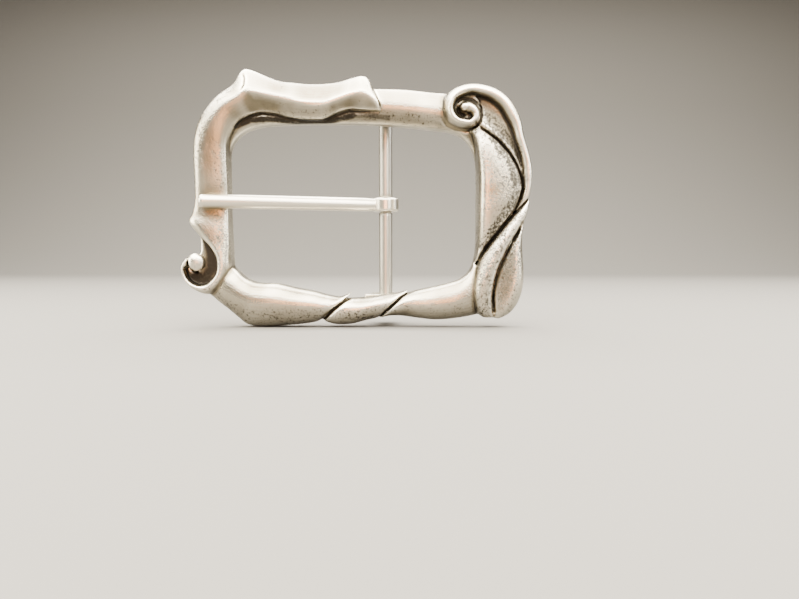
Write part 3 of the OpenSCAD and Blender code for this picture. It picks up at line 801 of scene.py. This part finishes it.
# grain, speck, pits, cloud and bumpDeep are in mm; real casting grain is finer and is drawn as
# coarse as it needs to be to show
castLook = {
    "grain": 0.45, "speck": 0.55, "pits": 1.1, "cloud": 3.0,
    "speckRare": 0.7, "speckDense": 0.35, "speckDark": 0.95, "speckEdge": 0.16, "patchy": 0.3,
    "pitFrom": 0.6, "pitFade": 0.08, "pitFloor": 0.1, "pitRim": 0.24,
    "darkFrom": 0.75, "darkTo": 1.45, "edgeCloud": 0.4, "edgeGrain": 0.45, "under": 0.43,
    "silver": "#7b725f", "polished": "#ece6d6", "dull": "#5c5649", "black": "#2b2823", "dullAt": 0.45,
    "smooth": 0.27, "rough": 0.55, "bump": 0.6, "bumpDeep": 0.09, "speckHigh": 0.5, "speckSunk": 0.4,
}
rodLook = dict(castLook, pitFrom=0.8, silver="#cbc5b8", bump=0.15, smooth=0.3, darkFrom=0.9)
barLook = dict(castLook, pitFrom=0.7, silver="#a09d95", polished="#b9b6ae", smooth=0.36, bump=0.2)
finishes = (
    (castFrame, "antiqueSilverCasting", castLook),
    (prongPiece, "polishedSilverRod", rodLook),
    (strapBar, "dullPlatedSteel", barLook),
)
for piece, name, look in finishes:
    piece.data.materials.clear()
    piece.data.materials.append(antiqueSilver(name, look))
print("materials made")


def plainMaterial(name, colour, rough):
    mat = bpy.data.materials.new(name)
    mat.use_nodes = True
    shader = mat.node_tree.nodes["Principled BSDF"]
    shader.inputs["Base Color"].default_value = srgb(colour)
    shader.inputs["Roughness"].default_value = rough
    return mat


# a sheet of paper: the floor, a curve behind the buckle and the backdrop, in one; sizes in mm
studio = {"floorZ": -28.35, "paper": "#5d5b57", "reach": 700, "behind": 320, "curve": 160,
          "height": 700, "world": "#6e6b66", "worldPower": 0.35}
deselect()
bpy.ops.mesh.primitive_plane_add(size=1)
paper = bpy.context.object
bpy.ops.object.mode_set(mode="EDIT")
bpy.ops.mesh.select_all(action="SELECT")
bpy.ops.mesh.delete(type="VERT")
bm = bmesh.from_edit_mesh(paper.data)
sweep = [(-studio["reach"], 0.0)]
for t in np.linspace(0, math.pi / 2, 24):
    sweep.append((studio["behind"] + studio["curve"] * math.sin(t), studio["curve"] * (1 - math.cos(t))))
sweep.append((studio["behind"] + studio["curve"], studio["height"]))
ends = []
for x in (-studio["reach"], studio["reach"]):
    ends.append([bm.verts.new((x * mm, y * mm, (studio["floorZ"] + z) * mm)) for y, z in sweep])
for i in range(len(sweep) - 1):
    bm.faces.new((ends[0][i], ends[0][i + 1], ends[1][i + 1], ends[1][i]))
bmesh.update_edit_mesh(paper.data)
bpy.ops.mesh.select_all(action="SELECT")
bpy.ops.mesh.normals_make_consistent(inside=False)
bpy.ops.object.mode_set(mode="OBJECT")
paper = settle(paper, "paper")
pick(paper)
bpy.ops.object.shade_smooth()
paper.data.materials.append(plainMaterial("mattPaper", studio["paper"], 0.9))

# soft lights, places and sizes in mm, power in watts
lights = {
    "overhead": {"at": (0, -85, 260), "aim": (0, -85, 0), "size": (700, 640),
                 "power": 33, "colour": "#fff8ea"},
    "behind": {"at": (0, 300, 380), "aim": (0, 0, 0), "size": (700, 160),
               "power": 3, "colour": "#fffdf8"},
    "frontTop": {"at": (0, -400, 230), "aim": (0, 0, 0), "size": (520, 150),
                 "power": 1.3, "colour": "#fffaf2"},
    "left": {"at": (-330, -60, 60), "aim": (0, 0, 0), "size": (220, 240),
             "power": 2.8, "colour": "#fff6de"},
    "right": {"at": (330, -60, 80), "aim": (0, 0, 0), "size": (160, 240),
              "power": 1.3, "colour": "#fffdf8"},
    "rightFront": {"at": (230, -330, 110), "aim": (0, 0, 0), "size": (120, 160),
                   "power": 1.0, "colour": "#fffaee"},
    "warmCard": {"at": (0, -420, -6), "aim": (0, 0, 0), "size": (130, 260),
                 "power": 1.65, "colour": "#ffb47c"},
}
for name, light in lights.items():
    deselect()
    at = Vector(light["at"]) * mm
    turn = (Vector(light["aim"]) * mm - at).to_track_quat("-Z", "Y").to_euler()
    bpy.ops.object.light_add(type="AREA", location=at, rotation=turn)
    lamp = bpy.context.object
    lamp.name = name
    lamp.data.shape = "RECTANGLE"
    lamp.data.size, lamp.data.size_y = light["size"][0] * mm, light["size"][1] * mm
    lamp.data.energy = light["power"]
    lamp.data.color = srgb(light["colour"])[:3]
world = bpy.data.worlds.new("roomGrey")
bpy.context.scene.world = world
world.use_nodes = True
world.node_tree.nodes["Background"].inputs["Color"].default_value = srgb(studio["world"])
world.node_tree.nodes["Background"].inputs["Strength"].default_value = studio["worldPower"]
print("studio lit")


# each piece on its body
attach(castFrame, "buckle")
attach(strapBar, "buckle")
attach(prongPiece, "tongue")
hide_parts("frame")
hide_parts("bar_pin")
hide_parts("prong")
